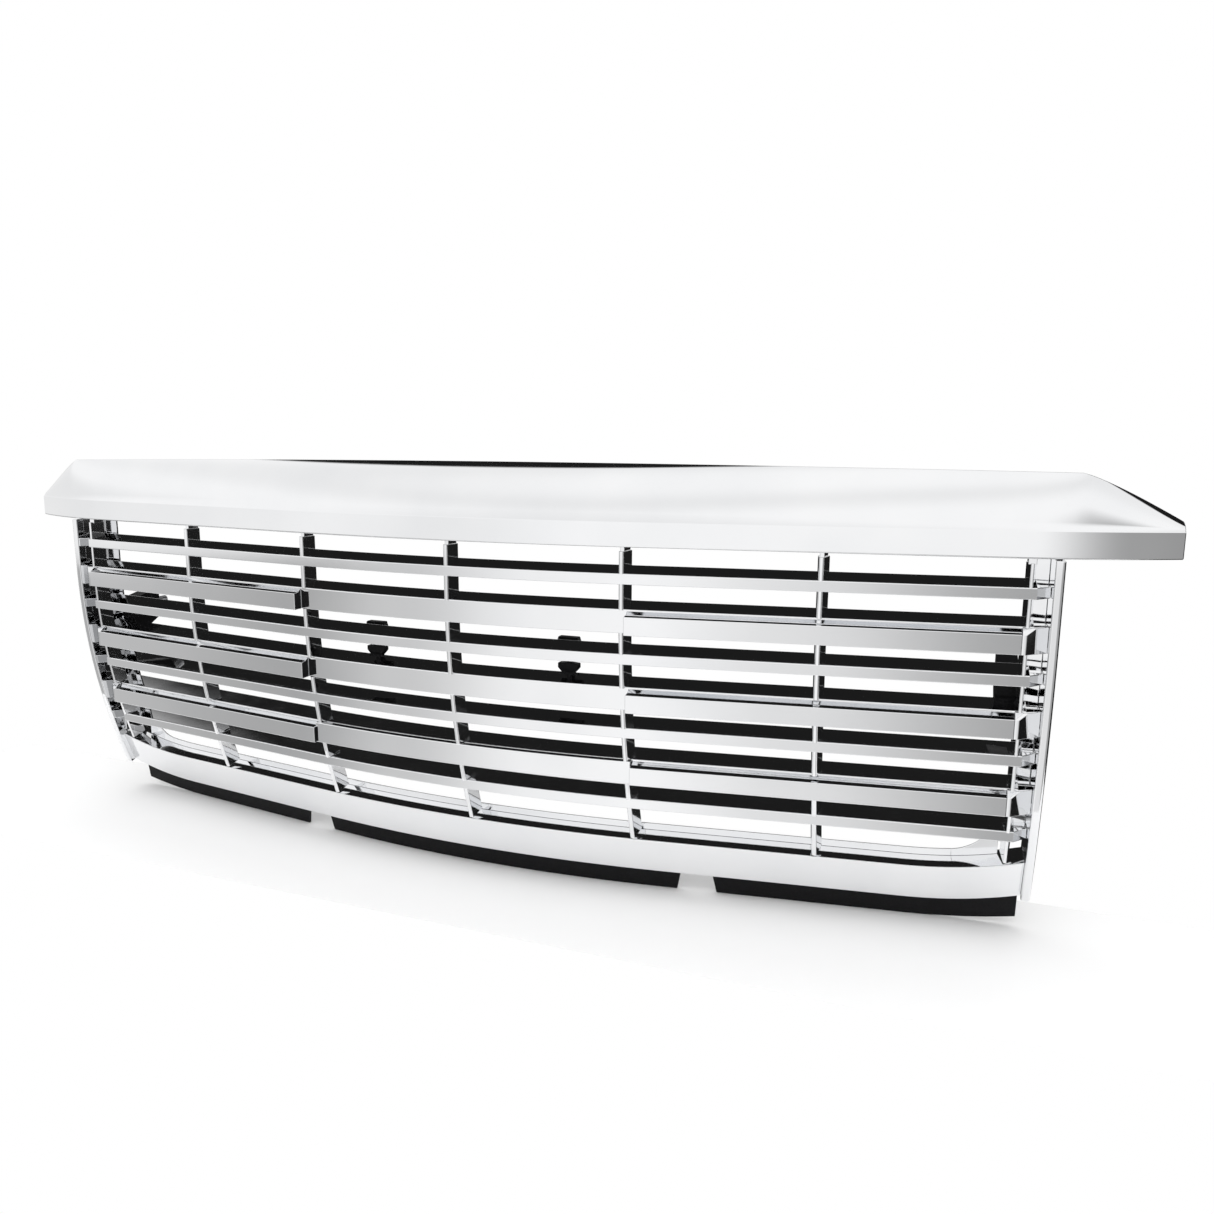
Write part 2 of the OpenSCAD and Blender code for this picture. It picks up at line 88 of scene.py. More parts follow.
HEAD_HALF, HEAD_LOW, CREASE_Z, HEAD_TOP = 564.0, 31.0, 52.0, 97.0
HEAD_PROUD, HEAD_WALL, HEAD_REAR_HALF = 6.0, 2.6, 492.0
BAND_TOP, BAND_LOW, RISE_X, RISE_H = -232.0, -268.0, 380.0, 14.0
BLADE_TOP = 44.0
FLANGE_LOW = -291.0
BOW_END_X = BOW_R * math.sin(SWEEP)
BOW_END_Y = BOW_R * (1 - math.cos(SWEEP))


def behind(x, depth):
    """Rearward place, at x across, of the line that lies a depth behind the front surface."""
    x = np.abs(x)
    r = BOW_R - depth
    on_arc = r - np.sqrt(np.maximum(r * r - x * x, 0))
    straight = BOW_END_Y + (x - BOW_END_X) * math.tan(SWEEP) + depth / math.cos(SWEEP)
    return np.where(x < r * math.sin(SWEEP), on_arc + depth, straight)


def tuck(z):
    down = np.maximum(TUCK_Z - np.asarray(z, float), 0)
    return TUCK_R - np.sqrt(TUCK_R**2 - down**2)


def end_rise(x):
    share = np.maximum(np.abs(x) - RISE_X, 0) / (SIDE_INNER - RISE_X)
    return RISE_H * share**2.2


def level(z):
    """Length along the tuck at a height, for sweeps that follow it."""
    return z if z >= TUCK_Z else TUCK_Z - TUCK_R * math.asin((TUCK_Z - z) / TUCK_R)


# ---------------------------------------------------------------- mesh building
class Shape:
    """Closed solids of one piece, with a normal for every vertex."""

    def __init__(self):
        self.points, self.normals, self.faces = [], [], []

    def add(self, points, normals, faces):
        start = len(self.points)
        self.points += [tuple(p) for p in points]
        self.normals += [tuple(n) for n in normals]
        self.faces += [[i + start for i in f] for f in faces]
        return self

    def mirrored(self):
        other = Shape()
        flip = np.array([-1, 1, 1])
        other.add(np.array(self.points) * flip, np.array(self.normals) * flip, [f[::-1] for f in self.faces])
        return other

    def join(self, other):
        return self.add(other.points, other.normals, other.faces)


def unit(v):
    return v / np.maximum(np.linalg.norm(v, axis=-1, keepdims=True), 1e-12)


def profile(corners, steps=4):
    """Points and outward normals of a closed outline of (u, v, radius). A radius rounds a
    corner; None keeps one point, whose normal lies between its two sides."""
    c = [np.array(p[:2], float) for p in corners]
    area = sum(a[0] * b[1] - a[1] * b[0] for a, b in zip(c, c[1:] + c[:1]))
    order = corners if area > 0 else corners[::-1]
    c = [np.array(p[:2], float) for p in order]
    points, normals = [], []
    for i, here in enumerate(c):
        before, after = c[i - 1], c[(i + 1) % len(c)]
        a, b = unit(here - before), unit(after - here)
        na, nb = np.array([a[1], -a[0]]), np.array([b[1], -b[0]])
        radius = order[i][2]
        if radius is None:
            points.append(here)
            normals.append(unit(na + nb))
            continue
        turn = math.atan2(a[0] * b[1] - a[1] * b[0], float(a @ b))
        reach = radius * abs(math.tan(turn / 2))
        centre = here - a * reach - na * math.copysign(radius, turn)
        for k in range(steps + 1):
            angle = turn * k / steps
            n = np.array([
                na[0] * math.cos(angle) - na[1] * math.sin(angle),
                na[0] * math.sin(angle) + na[1] * math.cos(angle),
            ])
            points.append(centre + n * math.copysign(radius, turn))
            normals.append(n)
    return np.array(points), np.array(normals)


def line_between(low, high, turns=(), end_r=0.4, steps=3):
    """Stations of a sweep as (place, inset, tilt), with rounded ends."""
    arc = [math.pi / 2 * k / steps for k in range(steps + 1)]
    first = [(low + end_r * (1 - math.sin(a)), end_r * (1 - math.cos(a)), -a) for a in arc[::-1]]
    last = [(high - end_r * (1 - math.sin(a)), end_r * (1 - math.cos(a)), a) for a in arc]
    middle = [(t, 0.0, 0.0) for t in sorted(turns) if low + end_r + 1 < t < high - end_r - 1]
    return first + middle + last


def sweep(shape, outline, line, place):
    """Sweeps an outline, fixed or a function of the place, with exact shading normals."""
    e = 0.01
    at = outline if callable(outline) else lambda t: outline
    rings, ring_normals = [], []
    for t, inset, tilt in line:
        def pos(s, slide=0.0):
            p, n = at(s)
            side = np.stack([-n[:, 1], n[:, 0]], 1)
            return place(s, p - n * inset + side * slide)
        along = unit(pos(t + e) - pos(t - e))
        across = pos(t, e) - pos(t, -e)
        n = unit(np.cross(across, along))
        rings.append(pos(t))
        ring_normals.append(unit(n * math.cos(tilt) + along * math.sin(tilt)))
    n, last = len(rings[0]), len(rings) - 1
    faces = [
        [s * n + i, s * n + (i + 1) % n, (s + 1) * n + (i + 1) % n, (s + 1) * n + i]
        for s in range(last)
        for i in range(n)
    ]
    faces += [list(range(n))[::-1], [last * n + i for i in range(n)]]
    return shape.add(np.concatenate(rings), np.concatenate(ring_normals), faces)


def bow_place(base_z=0.0, shift_y=0.0, rising=False, low_share=0.0):
    """Lays a (depth, height) outline at a distance across. What stands above the rising height
    follows the curve of the band's ends, and the rest follows a share of it."""
    def place(x, q):
        depth, z = q[:, 0], q[:, 1] + base_z
        if rising is not False:
            up = end_rise(x) * np.where(z > rising, 1, low_share)
            depth = depth + tuck(z + up) - tuck(z)
            z = z + up
        return np.stack([np.full(len(q), x), behind(x, depth) + shift_y, z], 1)
    return place


def tuck_place(x0, y0):
    """Lays an (across, depth) outline at a length along the tuck."""
    def place(t, q):
        beta = max(TUCK_Z - t, 0) / TUCK_R
        r = TUCK_R - q[:, 1]
        y = TUCK_R - r * math.cos(beta)
        z = TUCK_Z - r * math.sin(beta) + max(t - TUCK_Z, 0)
        return np.stack([x0 + q[:, 0], y0 + y, z], 1)
    return place


def upright_place(x0, y0):
    """Lays an (across, depth) outline at a height."""
    def place(z, q):
        return np.stack([x0 + q[:, 0], y0 + q[:, 1], np.full(len(q), z)], 1)
    return place


BOW_TURNS = [BOW_END_X * i / 24 for i in range(-24, 25)] + [BOW_END_X - 4, 4 - BOW_END_X]
RISE_TURNS = [s * (RISE_X + (SIDE_INNER - RISE_X) * i / 12) for i in range(12) for s in (-1, 1)]


def piece(name, mesh, material, slot_name, *nodes):
    """Makes the object of a mesh, which stands for its CAD nodes."""
    obj = bpy.data.objects.new(name, mesh)
    scene.collection.objects.link(obj)
    mesh.materials.append(material)
    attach(obj, "root")
    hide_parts(*nodes)
    return obj


def finished(name, shape, material, slot_name, *nodes, painted_shade_faces=()):
    """Makes the piece of a swept shape. The faces it is given by number take the black plastic material as
    painted shade, standing in for a dark reflection.
    """
    mesh = bpy.data.meshes.new(name)
    points = np.array(shape.points) / 1000 + ORIGIN
    mesh.from_pydata(points.tolist(), [], shape.faces)
    mesh.polygons.foreach_set("use_smooth", [True] * len(mesh.polygons))
    mesh.update()
    mesh.normals_split_custom_set_from_vertices(shape.normals)
    piece(name, mesh, material, slot_name, *nodes)
    # The listed faces are painted black: painted shade on the chrome, not bare plastic.
    if painted_shade_faces:
        mesh.materials.append(BLACK)
        for i in painted_shade_faces:
            mesh.polygons[i].material_index = 1


# ---------------------------------------------------------------- materials
def principled(name, color, metallic, roughness):
    """A new material, its node tree, its shader and the coordinates of its patterns."""
    m = bpy.data.materials.new(name)
    m.use_nodes = True
    nodes, links = m.node_tree.nodes, m.node_tree.links
    shader = nodes["Principled BSDF"]
    shader.inputs["Base Color"].default_value = (*color, 1)
    shader.inputs["Metallic"].default_value = metallic
    shader.inputs["Roughness"].default_value = roughness
    where = nodes.new("ShaderNodeTexCoord")
    return m, nodes, links, shader, where.outputs["Object"]


def noise(nodes, links, where, scale, detail=4.0, stretch=(1, 1, 1)):
    spread = nodes.new("ShaderNodeMapping")
    spread.inputs["Scale"].default_value = stretch
    links.new(where, spread.inputs["Vector"])
    tex = nodes.new("ShaderNodeTexNoise")
    tex.inputs["Scale"].default_value = scale
    tex.inputs["Detail"].default_value = detail
    links.new(spread.outputs["Vector"], tex.inputs["Vector"])
    return tex.outputs["Fac"]


def ranged(nodes, links, value, low, high):
    r = nodes.new("ShaderNodeMapRange")
    r.inputs["From Min"].default_value = 0.3
    r.inputs["From Max"].default_value = 0.7
    r.inputs["To Min"].default_value = low
    r.inputs["To Max"].default_value = high
    links.new(value, r.inputs["Value"])
    return r.outputs["Result"]


def bumped(nodes, links, shader, value, strength, distance):
    b = nodes.new("ShaderNodeBump")
    b.inputs["Strength"].default_value = strength
    b.inputs["Distance"].default_value = distance
    links.new(value, b.inputs["Height"])
    links.new(b.outputs["Normal"], shader.inputs["Normal"])


def tinted(nodes, links, shader, value, dark, light):
    mix = nodes.new("ShaderNodeMix")
    mix.data_type = "RGBA"
    mix.inputs["A"].default_value = (*dark, 1)
    mix.inputs["B"].default_value = (*light, 1)
    links.new(value, mix.inputs["Factor"])
    links.new(mix.outputs["Result"], shader.inputs["Base Color"])


def plated_chrome():
    m, nodes, links, shader, where = principled("plated_chrome", (0.9, 0.905, 0.915), 1.0, 0.05)
    haze = noise(nodes, links, where, 38.0, 5.0)
    links.new(ranged(nodes, links, haze, 0.035, 0.075), shader.inputs["Roughness"])
    tinted(nodes, links, shader, ranged(nodes, links, noise(nodes, links, where, 9.0), 0, 1),
           (0.87, 0.877, 0.89), (0.93, 0.933, 0.94))
    bumped(nodes, links, shader, noise(nodes, links, where, 160.0, 2.0), 0.05, 0.0001)
    return m


def moulded_black():
    m, nodes, links, shader, where = principled("moulded_black", (0.01, 0.01, 0.011), 0.0, 0.45)
    grain = noise(nodes, links, where, 1400.0, 3.0)
    links.new(ranged(nodes, links, noise(nodes, links, where, 60.0), 0.38, 0.52), shader.inputs["Roughness"])
    tinted(nodes, links, shader, ranged(nodes, links, grain, 0, 1),
           (0.004, 0.004, 0.0045), (0.012, 0.012, 0.013))
    shader.inputs["Specular IOR Level"].default_value = 0.1
    bumped(nodes, links, shader, grain, 0.35, 0.0002)
    return m


def zinc_steel():
    m, nodes, links, shader, where = principled("zinc_steel", (0.55, 0.56, 0.58), 1.0, 0.3)
    brushed = noise(nodes, links, where, 500.0, 4.0, (1, 1, 0.1))
    links.new(ranged(nodes, links, brushed, 0.22, 0.42), shader.inputs["Roughness"])
    tinted(nodes, links, shader, ranged(nodes, links, noise(nodes, links, where, 120.0), 0, 1),
           (0.48, 0.49, 0.52), (0.62, 0.62, 0.62))
    bumped(nodes, links, shader, brushed, 0.1, 0.00005)
    return m


CHROME, BLACK, STEEL = plated_chrome(), moulded_black(), zinc_steel()

# ---------------------------------------------------------------- bars
def channel(front, h, wall=2.0):
    """Bar section, open to the rear, whose top rises to a rounded rear edge."""
    return profile([
        (front, 0, 0.8), (BAR_DEPTH, 1.0, 0.4), (BAR_DEPTH, 1.0 + wall, 0.4), (front + wall, wall, 0.7),
        (front + wall, h - wall, 0.7), (BAR_DEPTH, h + BAR_RISE - 1.2 - wall, 0.4),
        (BAR_DEPTH, h + BAR_RISE - 1.2, 0.5), (BAR_DEPTH - 3, h + BAR_RISE - 0.1, 3.0), (front, h, 1.0),
    ])


def bar(name, z, h, front, nodes):
    """One bar with its ribs and the links that tie its ends to the rails. A thin bar's ends
    also have mitres."""
    shape = Shape()
    place = bow_place(z, float(tuck(z)))
    sweep(shape, channel(front, h), line_between(-BAR_END - 0.9, BAR_END + 0.9, BOW_TURNS), place)
    rib = profile([(front + 1.6, 1.4, 0.2), (BAR_DEPTH - 3, 1.8, 0.6),
                   (BAR_DEPTH - 3, h + 2.4, 0.6), (front + 1.6, h - 1.4, 0.2)], 2)
    for i in range(-11, 12):
        x = i * PITCH / 4
        sweep(shape, rib, line_between(x - 0.7, x + 0.7, end_r=0.15, steps=1), place)
    link = profile([(LINK_DEPTH, 0.8, 0.5), (BAR_DEPTH, 1.2, 0.5), (BAR_DEPTH, h - 1.2, 0.5),
                    (LINK_DEPTH, h - 0.8, 0.5)])
    side = sweep(Shape(), link, line_between(BAR_END + 0.5, SIDE_INNER - 0.1, end_r=0.2, steps=1), place)
    if h == THIN_H:
        def mitre(x):
            back = 10.5 * (x - BAR_END) / (SIDE_INNER - BAR_END)
            return profile([(back, 0, 0.6), (12, 0.4, 0.4), (12, h - 0.4, 0.4), (back, h, 0.8)])
        sweep(side, mitre, line_between(BAR_END + 0.7, SIDE_INNER - 0.2, end_r=0.2, steps=1), place)
    shape.join(side).join(side.mirrored())
    finished(name, shape, CHROME, "chrome", *nodes)


def chrome_pair(name, node, right, painted_shade_faces=()):
    """Makes a right piece and its mirror image on the left."""
    finished(f"plated_right_{name}", right, CHROME, "chrome", f"right_{node}", painted_shade_faces=painted_shade_faces)
    finished(f"plated_left_{name}", right.mirrored(), CHROME, "chrome", f"left_{node}", painted_shade_faces=painted_shade_faces)


for number, z in enumerate(THIN_Z, 1):
    bar(f"plated_thin_bar_{number}", z, THIN_H, 0.0, [f"thin_bar_{number}"])
for number, z in enumerate(THICK_Z, 1):
    bar(f"plated_thick_bar_{number}", z, THICK_H, PAD_FRONT, [f"thick_bar_{number}"])

WING = profile([
    (-8, 0, 0.7), (1.4, 0, 0.4), (1.4, 18.8, 0.2), (0.6, 18.6, 0.2), (-2.6, 16.4, 0.4), (-8, 15.4, 0.5),
])


def end_cap(z):
    """Faceted cap that turns the end of a wing back to its rail."""
    x0, mitre_x, x1, back_x = WING_OUT + 0.1, WING_OUT + 3.0, SIDE_INNER - 0.1, BAR_END + 0.6
    rake = mitre_x + (x1 - mitre_x) * 5.6 / 13.0
    y, top, low = float(behind(SIDE_X, 0)) + float(tuck(z)), THICK_H, 0.0
    v = [(x0, -8, low), (mitre_x, -8, low), (x1, 5, low), (x1, 6.1, low), (back_x, 0.7, low),
         (x0, 0.7, low), (x0, -8, 15.2), (mitre_x, -8, 15.2), (x0, -2.4, top), (rake, -2.4, top),
         (x1, 5, top), (x1, 6.1, top), (back_x, 0.7, top), (x0, 0.7, top)]
    f = [(5, 4, 3, 2, 1, 0), (0, 1, 7, 6), (6, 7, 9, 8), (1, 2, 10, 9, 7), (2, 3, 11, 10), (3, 4, 12, 11),
         (4, 5, 13, 12), (5, 0, 6, 8, 13), (8, 9, 10, 11, 12, 13)]
    return [(a, b + y, c + z) for a, b, c in v], f


def faceted(name, points, faces, width, material, slot_name, *nodes):
    """A piece with flat facets and softly broken edges."""
    mesh = bpy.data.meshes.new(name)
    mesh.from_pydata((np.array(points) / 1000 + ORIGIN).tolist(), [], faces)
    bm = bmesh.new()
    bm.from_mesh(mesh)
    bmesh.ops.recalc_face_normals(bm, faces=bm.faces)
    bmesh.ops.bevel(bm, geom=bm.edges[:], offset=width / 1000, segments=2, profile=0.5, affect="EDGES")
    for face in bm.faces:
        face.smooth = True
    bm.to_mesh(mesh)
    bm.free()
    obj = piece(name, mesh, material, slot_name, *nodes)
    weighted = obj.modifiers.new("weighted", "WEIGHTED_NORMAL")
    weighted.keep_sharp = False


for number, z in enumerate(THICK_Z, 1):
    wing_line = line_between(WING_IN, WING_OUT, BOW_TURNS, 0.5)
    right = sweep(Shape(), WING, wing_line, bow_place(z, float(tuck(z))))
    # The wing's inner end face is painted black as painted shade, for the dark reflection in the gap beside
    # the centre pad.
    painted_shade_end = len(right.faces) - 2
    chrome_pair(f"wing_{number}", f"wing_{number}", right, painted_shade_faces=[painted_shade_end])
    points, faces = end_cap(z)
    for side, label in ((1, "right"), (-1, "left")):
        cap = f"{label}_end_cap_{number}"
        faceted(f"plated_{cap}", [(side * a, b, c) for a, b, c in points], faces, 0.35, CHROME, "chrome", cap)

pad = profile([(-5, 0.2, 0.7), (1.4, 0.2, 0.4), (1.4, 19.9, 0.4), (-5, 19.9, 0.9)])
pad_line = line_between(0.1 - WING_IN, WING_IN - 0.1, BOW_TURNS, 0.5)
center_pad = sweep(Shape(), pad, pad_line, bow_place(THICK_Z[2], float(tuck(THICK_Z[2]))))
finished("plated_center_pad", center_pad, CHROME, "chrome", "center_pad_3")

# ---------------------------------------------------------------- upright blades, side panels and rails
ROWS = sorted([(z, z + THIN_H) for z in THIN_Z] + [(z, z + THICK_H) for z in THICK_Z])
GAPS = [(low_bar[1], high_bar[0]) for low_bar, high_bar in zip(ROWS, ROWS[1:])]
SINK = 0.5
TIP = 27.0
FOOT = BAND_TOP - 0.6


def upright(outline, neck, x, foot):
    """One upright, as a length in each gap between the bars, its ends just inside them, and a
    set-back neck that goes on up behind the header."""
    shape = Shape()
    place = tuck_place(x, float(behind(x, 0)))
    sweep(shape, neck, line_between(TIP - 1, BLADE_TOP, end_r=0.3, steps=2), place)
    for low, high in [(foot, ROWS[0][0])] + GAPS + [(ROWS[-1][1], TIP)]:
        low, high = level(low - (SINK if low != foot else 0)), level(high + (SINK if high != TIP else 0))
        turns = [low + (high - low) * k / 5 for k in range(1, 5)]
        sweep(shape, outline, line_between(low, high, turns, 0.3, 2), place)
    return shape


BLADE = profile([(-1.9, 0, 1.5), (1.9, 0, 1.5), (4.7, 15, 0.5), (-4.7, 15, 0.5)])
BLADE_NECK = profile([(-1.8, 3, 0.5), (1.8, 3, 0.5), (3.2, 15, 0.5), (-3.2, 15, 0.5)])
SIDE_BLADE = profile([(-1.2, 0, 0.9), (1.2, 0, 0.9), (3.75, 15, 0.5), (-3.75, 15, 0.5)])
SIDE_NECK = profile([(-3, 3, 0.5), (3, 3, 0.5), (3, 15, 0.5), (-3, 15, 0.5)])
for number in range(1, 6):
    x = (number - 3) * PITCH
    blade = upright(BLADE, BLADE_NECK, x, FOOT)
    finished(f"plated_blade_{number}", blade, CHROME, "chrome", f"blade_{number}")
side_blade = upright(SIDE_BLADE, SIDE_NECK, SIDE_X, FOOT + float(end_rise(BAR_END)))
chrome_pair("side_blade", "side_blade", side_blade)


def tuck_turns(low, high, count=24):
    """Stations that follow the tuck between two heights."""
    return [level(low) + (level(high) - level(low)) * k / count for k in range(1, count)]


PANEL_IN, PANEL_OUT, PANEL_LOW = 462.0, SIDE_INNER - 0.1, BAND_TOP + 3.2 + RISE_H
panel = profile([(PANEL_IN, 34, 0.4), (PANEL_OUT, 33.5, 0.4), (PANEL_OUT, 35.5, 0.3), (PANEL_IN, 36, 0.3)])
panel_line = line_between(level(PANEL_LOW), HEAD_LOW - 1, tuck_turns(PANEL_LOW, HEAD_LOW))
side_panel = sweep(Shape(), panel, panel_line, tuck_place(0, float(behind(SIDE_X, 0))))
chrome_pair("side_panel", "side_panel", side_panel)

RAIL_LOW = BAND_LOW + RISE_H
RAIL_Y = float(behind(SIDE_INNER + RAIL_W / 2, 0))
rail = profile([(0, -RAIL_PROUD, 1.2), (RAIL_W, -RAIL_PROUD, 2.6), (RAIL_W, RAIL_D - RAIL_PROUD, 0.8),
                (RAIL_W - 2.4, RAIL_D - RAIL_PROUD, 0.8), (RAIL_W - 2.4, 4, 1.0), (2.2, 4, 1.0),
                (2.2, 40, 0.8), (0, 40, 0.8)])
rail_line = line_between(level(RAIL_LOW), HEAD_LOW - 1, tuck_turns(RAIL_LOW, HEAD_LOW), 0.8)
side_rail = sweep(Shape(), rail, rail_line, tuck_place(SIDE_INNER, RAIL_Y))
tongue = profile([(0, 16, 0.8), (RAIL_W, 16, 0.8), (RAIL_W, 40, 0.8), (0, 40, 0.8)])
sweep(side_rail, tongue, line_between(HEAD_LOW - 2, HEAD_LOW + 32, end_r=0.6), tuck_place(SIDE_INNER, RAIL_Y))
chrome_pair("rail", "rail", side_rail)

# ---------------------------------------------------------------- header
JOINT_X, END_R = 437.0, 398.0
JOINT_Y = float(behind(JOINT_X, 0)) - HEAD_PROUD


def header_front(x):
    """Depth of the header's front, which turns into an arc towards each end."""
    x = abs(x)
    if x <= JOINT_X:
        return float(behind(x, 0)) - HEAD_PROUD
    along_arc = x - JOINT_X + END_R * math.sin(SWEEP)
    return JOINT_Y + END_R * math.cos(SWEEP) - math.sqrt(END_R**2 - along_arc**2)


def header_rear(x):
    """Depth and height of the header's rear edge, which is cut back at each end."""
    corner = max(0.0, (abs(x) - HEAD_REAR_HALF) / (HEAD_HALF - HEAD_REAR_HALF))
    share = min(1.0, abs(x) / HEAD_REAR_HALF) ** 2
    return (47 + 21 * share + 24 * corner, HEAD_TOP - 3.5 * share - 35.5 * corner**1.2)


def header_outline(x):
    """Section of the header: an upright front band, a crease and a crowned top."""
    front, (rear_y, rear_z) = header_front(x), header_rear(x)
    start, end = np.array([front + 1.5, CREASE_Z]), np.array([rear_y, rear_z])
    via = start + (end - start) * np.array([0.2, 0.74])
    ts = np.linspace(0, 1, 21)
    crown = [(1 - t) ** 2 * start + 2 * t * (1 - t) * via + t * t * end for t in ts]
    slopes = [unit(2 * (1 - t) * (via - start) + 2 * t * (end - via)) for t in ts]
    inner = [c + HEAD_WALL * np.array([s[1], -s[0]]) for c, s in zip(crown, slopes)]
    corners = [(front, HEAD_LOW, 1.2), (front + 0.4, CREASE_Z - 1, 1.6)]
    corners += [(*c, None) for c in crown[1:-1]] + [(*crown[-1], 1.1)]
    corners += [(*inner[-1], 1.1)] + [(*c, None) for c in inner[-2:0:-1]]
    corners += [(front + HEAD_WALL + 0.6, CREASE_Z - 2, 0.8), (front + HEAD_WALL, HEAD_LOW, 1.1)]
    return profile(corners, 5)


def header_place(x, q):
    return np.stack([np.full(len(q), x), q[:, 0], q[:, 1]], 1)


head_turns = list(np.linspace(-HEAD_HALF, HEAD_HALF, 189)[1:-1])
header = sweep(Shape(), header_outline, line_between(-HEAD_HALF, HEAD_HALF, head_turns, 0.9), header_place)
finished("plated_header", header, CHROME, "chrome", "header_molding")

# ---------------------------------------------------------------- lower band and lip
WALL, SHELF_EDGE, LEG_Z, PLATE = 2.6, BAND_TOP - 2, -262.0, 3.0
band_zs = np.linspace(BAND_LOW, SHELF_EDGE, 9)
band_front = [(float(tuck(z)), z, None) for z in band_zs[1:-1]]
band_back = [(float(tuck(z)) + WALL, z, None) for z in band_zs[-2:0:-1]]
top_y, low_y = float(tuck(BAND_TOP)), float(tuck(BAND_LOW))
band = profile(
    [(low_y, BAND_LOW, 1.6)] + band_front
    + [(float(tuck(SHELF_EDGE)), SHELF_EDGE, 1.0), (top_y + 20.5, BAND_TOP, 0.3), (top_y + 30, BAND_TOP, 0.8)]
    + [(top_y + 30, BAND_TOP - 2.4, 0.8), (top_y + WALL, BAND_TOP - 2.4, 0.8)] + band_back
    + [(low_y + WALL, BAND_LOW + 2.4, 0.8), (low_y + 12, BAND_LOW + 2.4, 0.8), (low_y + 12, BAND_LOW, 0.8)])
band_line = line_between(0.1 - SIDE_INNER, SIDE_INNER - 0.1, BOW_TURNS + RISE_TURNS, 0.3)
on_band = bow_place(rising=-300.0)
lower = sweep(Shape(), band, band_line, on_band)
SCREW_X = (-370, -240, -80, 80, 240, 370)
SQUARE = ((-1, -1), (1, -1), (1, 1), (-1, 1))


def screw_y(x):
    return float(behind(x, 0)) + top_y + 21.5


# Round posts under the shelf take the flange's screws. Each has a collar.
for x in SCREW_X:
    for radius, low, high in (
        (5.0, LEG_Z + PLATE + 0.2, BAND_TOP - 1.5),
        (6.2, BAND_TOP - 4.2, BAND_TOP - 1.8),
    ):
        post = profile([(a * radius, b * radius, radius - 0.01) for a, b in SQUARE], 7)
        sweep(lower, post, line_between(low, high, end_r=0.3, steps=2), upright_place(x, screw_y(x)))
finished("plated_lower_band", lower, CHROME, "chrome", "lower_band")

LIP_Y, LIP_H, LIP_R, LIP_CORNER_W = top_y + 21, 6.0, 36.0, 28.6
LIP_HALF = WING_OUT - 1
LIP_CORNER_X = LIP_HALF - LIP_R


def lip_outline(x):
    """The lip's section, which grows taller round its corner."""
    into = min(max(abs(x) - LIP_CORNER_X, 0), LIP_CORNER_W)
    top = LIP_H + LIP_R - math.sqrt(LIP_R**2 - into**2)
    return profile([(LIP_Y, BAND_TOP + 0.1, 0.4), (LIP_Y + 2, BAND_TOP + 0.1, 0.4),
                    (LIP_Y + 2, BAND_TOP + top, 0.7), (LIP_Y, BAND_TOP + top, 0.7)])


lip_line = line_between(-LIP_CORNER_X, LIP_CORNER_X, BOW_TURNS + RISE_TURNS, 0.2)
lip = sweep(Shape(), lip_outline, lip_line, on_band)
finished("plated_lower_lip", lip, CHROME, "chrome", "lower_lip")
corner_turns = list(np.linspace(LIP_CORNER_X, LIP_HALF, 16))
corner_line = line_between(LIP_CORNER_X + 0.1, LIP_HALF, corner_turns, 0.2)
chrome_pair("lip_corner", "lip_corner", sweep(Shape(), lip_outline, corner_line, on_band))

# ---------------------------------------------------------------- flange
FLANGE_Y, FLANGE_X, FLANGE_LEAN, FLANGE_RISE_SHARE = low_y + 13, 476.0, 4.0, 0.65
FLANGE_BACK_Y = FLANGE_Y + PLATE
NOTCH_IN, NOTCH_OUT, NOTCH_Z, NOTCH_SLOPE = 188.0, 224.0, -266.0, 5.0
GUSSET_PITCH, GUSSET_T = 50.0, 1.8


def flange_outline(x):
    """The flange's wall, whose lower edge steps up into each notch on sloping sides."""
    into = min(abs(x) - NOTCH_IN, NOTCH_OUT - abs(x)) / NOTCH_SLOPE
    low = FLANGE_LOW + (NOTCH_Z - FLANGE_LOW) * min(max(into, 0), 1)
    lean = FLANGE_LEAN * (LEG_Z - low) / (LEG_Z - FLANGE_LOW)
    return profile([(FLANGE_Y, LEG_Z + 0.5, 0.3), (FLANGE_Y + lean, low, 0.5),
                    (FLANGE_BACK_Y + lean, low, 0.5), (FLANGE_BACK_Y, LEG_Z + 0.5, 0.3)])


leg_y = float(tuck(LEG_Z)) + PLATE + 0.5
leg = profile([(leg_y, LEG_Z, 0.5), (leg_y, LEG_Z + PLATE, 0.5), (FLANGE_BACK_Y, LEG_Z + PLATE, 1.2),
               (FLANGE_BACK_Y, LEG_Z, 0.3)])
notch_turns = [
    side * (edge + into)
    for side in (-1, 1)
    for edge in (NOTCH_IN, NOTCH_OUT - NOTCH_SLOPE)
    for into in np.linspace(0, NOTCH_SLOPE, 6)
]
wall_line = line_between(-FLANGE_X, FLANGE_X, BOW_TURNS + RISE_TURNS + notch_turns, 0.4)
flange = sweep(Shape(), flange_outline, wall_line, bow_place(rising=LEG_Z - 1, low_share=FLANGE_RISE_SHARE))
sweep(flange, leg, line_between(-FLANGE_X, FLANGE_X, BOW_TURNS + RISE_TURNS, 0.4), on_band)
gusset = profile([(FLANGE_BACK_Y - 0.3, LEG_Z + 2, 0.2), (FLANGE_BACK_Y - 0.3, LEG_Z - 14, 0.2),
                  (FLANGE_BACK_Y + 2, LEG_Z - 14, 0.4), (FLANGE_BACK_Y + 9, LEG_Z + 2, 0.4)], 2)
for i in range(-9, 10):
    x = i * GUSSET_PITCH
    if not NOTCH_IN < abs(x) < NOTCH_OUT:
        sweep(flange, gusset, line_between(x - GUSSET_T / 2, x + GUSSET_T / 2, end_r=0.2, steps=1), on_band)
finished("moulded_flange", flange, BLACK, "black_plastic", "lower_flange")


# ---------------------------------------------------------------- screws
SCREW_SIDES = 24
HEX_INNER_R = 1.25 * math.cos(math.pi / 6)


